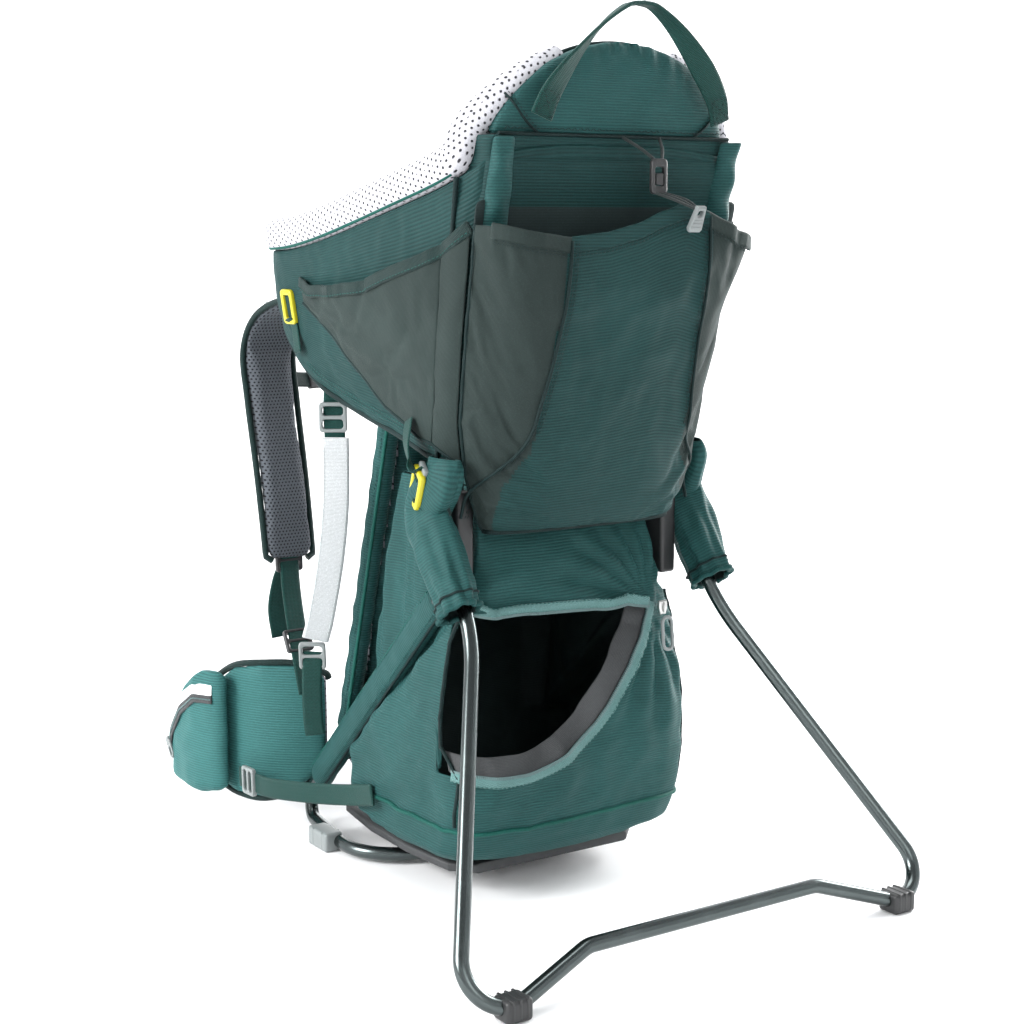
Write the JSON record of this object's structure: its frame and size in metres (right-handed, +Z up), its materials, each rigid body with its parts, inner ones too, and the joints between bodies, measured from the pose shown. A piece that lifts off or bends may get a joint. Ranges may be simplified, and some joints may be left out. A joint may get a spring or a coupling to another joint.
{
  "type": "framed child carrier backpack",
  "caption": "Framed backpack that carries a small child: tube frame, padded cockpit, outer pocket, zipped lower bag, hip belt, shoulder straps and folding kickstand.",
  "frame": {"origin": "On the floor, at the centre of the whole object's box seen from above.", "axes": "+Z up; -Y is the outer side with the pockets and the kickstand; +Y is the side of the adult who wears it; +X is the wearer's right-hand side seen from the pockets, and the object is symmetric about X = 0 apart from small trim."},
  "size_m": [0.4488, 0.6455, 0.717],
  "materials": {
    "anodised_tube": "satin dark anodised",
    "steel": "brushed",
    "grey_plastic": "moulded, fine grain",
    "black_plastic": "moulded, fine grain",
    "yellow_plastic": "moulded, fine grain",
    "teal_fabric": "ribbed ripstop weave",
    "slate_fabric": "stretch twill",
    "spacer_mesh": "open spacer mesh",
    "webbing": "woven webbing",
    "pale_band": "plain woven tape"
  },
  "bodies": {
    "frame": {"floor_hoop": "anodised_tube", "upper_hoop": "anodised_tube", "back_hoop": "anodised_tube", "cross_bar": "anodised_tube", "cockpit_shell": "teal_fabric", "rim_pad": "spacer_mesh", "headrest": "teal_fabric", "headrest_lining": "spacer_mesh", "outer_pocket": "teal_fabric", "lower_bag": "teal_fabric", "base_panel": "black_plastic", "back_panel": "spacer_mesh", "lumbar_pad": "spacer_mesh", "seat_back": "spacer_mesh", "harness_buckle": "black_plastic", "hoop_foot_left": "black_plastic", "pivot_bracket_left": "black_plastic", "pivot_bolt_left": "steel", "side_pocket_left": "slate_fabric", "corner_clip_left": "yellow_plastic", "rail_sleeve_left": "teal_fabric", "entry_buckle_left": "yellow_plastic", "child_harness_left": "spacer_mesh", "hoop_foot_right": "black_plastic", "pivot_bracket_right": "black_plastic", "pivot_bolt_right": "steel", "side_pocket_right": "slate_fabric", "corner_clip_right": "yellow_plastic", "rail_sleeve_right": "teal_fabric", "entry_buckle_right": "yellow_plastic", "child_harness_right": "spacer_mesh"},
    "kickstand": {"kickstand": "anodised_tube", "kickstand_clip_left": "black_plastic", "kickstand_boot_left": "teal_fabric", "kickstand_clip_right": "black_plastic", "kickstand_boot_right": "teal_fabric"},
    "grab_handle": {"grab_handle": "webbing"},
    "harness": {"harness_yoke": "teal_fabric", "shoulder_strap_left": "spacer_mesh", "strap_webbing_left": "webbing", "shoulder_strap_right": "spacer_mesh", "strap_webbing_right": "webbing"},
    "chest_left": {"chest_strap_left": "black_plastic"},
    "chest_right": {"chest_strap_right": "black_plastic"},
    "hip_left": {"hip_wing_left": "teal_fabric", "hip_pocket_left": "teal_fabric", "belt_end_left": "black_plastic"},
    "hip_right": {"hip_wing_right": "teal_fabric", "hip_pocket_right": "teal_fabric", "belt_end_right": "black_plastic"},
    "stirrup_left": {"stirrup_left": "pale_band", "stirrup_lock_left": "grey_plastic"},
    "stirrup_right": {"stirrup_right": "pale_band", "stirrup_lock_right": "grey_plastic"},
    "seat": {"child_seat": "spacer_mesh"},
    "button": {"buckle_button": "yellow_plastic"},
    "hook": {"pocket_hook": "black_plastic", "cord_pull": "grey_plastic"},
    "zip_slider": {"zip_slider": "grey_plastic"},
    "zip_pull": {"zip_pull": "grey_plastic"}
  },
  "joints": [
    {"name": "kickstand_fold", "type": "hinge", "parent": "frame", "child": "kickstand", "pos_m": [0, -0.1033, 0.32], "axis": [1, 0, 0], "range_deg": [0, 50]},
    {"name": "handle_flop", "type": "hinge", "parent": "frame", "child": "grab_handle", "pos_m": [0, -0.1963, 0.63], "axis": [1, 0, 0], "range_deg": [0, 80]},
    {"name": "harness_height", "type": "slide", "parent": "frame", "child": "harness", "axis": [0, -0.2553, 0.9669], "range_m": [-0.015, 0]},
    {"name": "chest_slide_left", "type": "slide", "parent": "harness", "child": "chest_left", "axis": [0.0433, 0.2167, 0.9753], "range_m": [-0.018, 0.012]},
    {"name": "hip_swing_left", "type": "hinge", "parent": "frame", "child": "hip_left", "pos_m": [-0.078, 0.1597, 0.09], "axis": [0, 0, 1], "range_deg": [-8, 10]},
    {"name": "stirrup_slide_left", "type": "slide", "parent": "frame", "child": "stirrup_left", "axis": [0, 0, 1], "range_m": [-0.03, 0]},
    {"name": "chest_slide_right", "type": "slide", "parent": "harness", "child": "chest_right", "axis": [-0.0433, 0.2167, 0.9753], "range_m": [-0.018, 0.012]},
    {"name": "hip_swing_right", "type": "hinge", "parent": "frame", "child": "hip_right", "pos_m": [0.078, 0.1597, 0.09], "axis": [0, 0, -1], "range_deg": [-8, 10]},
    {"name": "stirrup_slide_right", "type": "slide", "parent": "frame", "child": "stirrup_right", "axis": [0, 0, 1], "range_m": [-0.03, 0]},
    {"name": "seat_height", "type": "slide", "parent": "frame", "child": "seat", "axis": [0, 0, 1], "range_m": [-0.01, 0.008]},
    {"name": "buckle_press", "type": "slide", "parent": "frame", "child": "button", "axis": [0, -0.9578, -0.2873], "range_m": [0, 0.002], "stiffness_N_per_m": 600},
    {"name": "hook_swing", "type": "hinge", "parent": "frame", "child": "hook", "pos_m": [0.018, -0.2033, 0.603], "axis": [-1, 0, 0], "range_deg": [0, 60]},
    {"name": "zip_slide", "type": "slide", "parent": "frame", "child": "zip_slider", "axis": [-1, 0, 0], "range_m": [0, 0.05]},
    {"name": "zip_pull_swing", "type": "hinge", "parent": "zip_slider", "child": "zip_pull", "pos_m": [0.076, -0.1508, 0.229], "axis": [-1, 0, 0], "range_deg": [0, 100]}
  ]
}
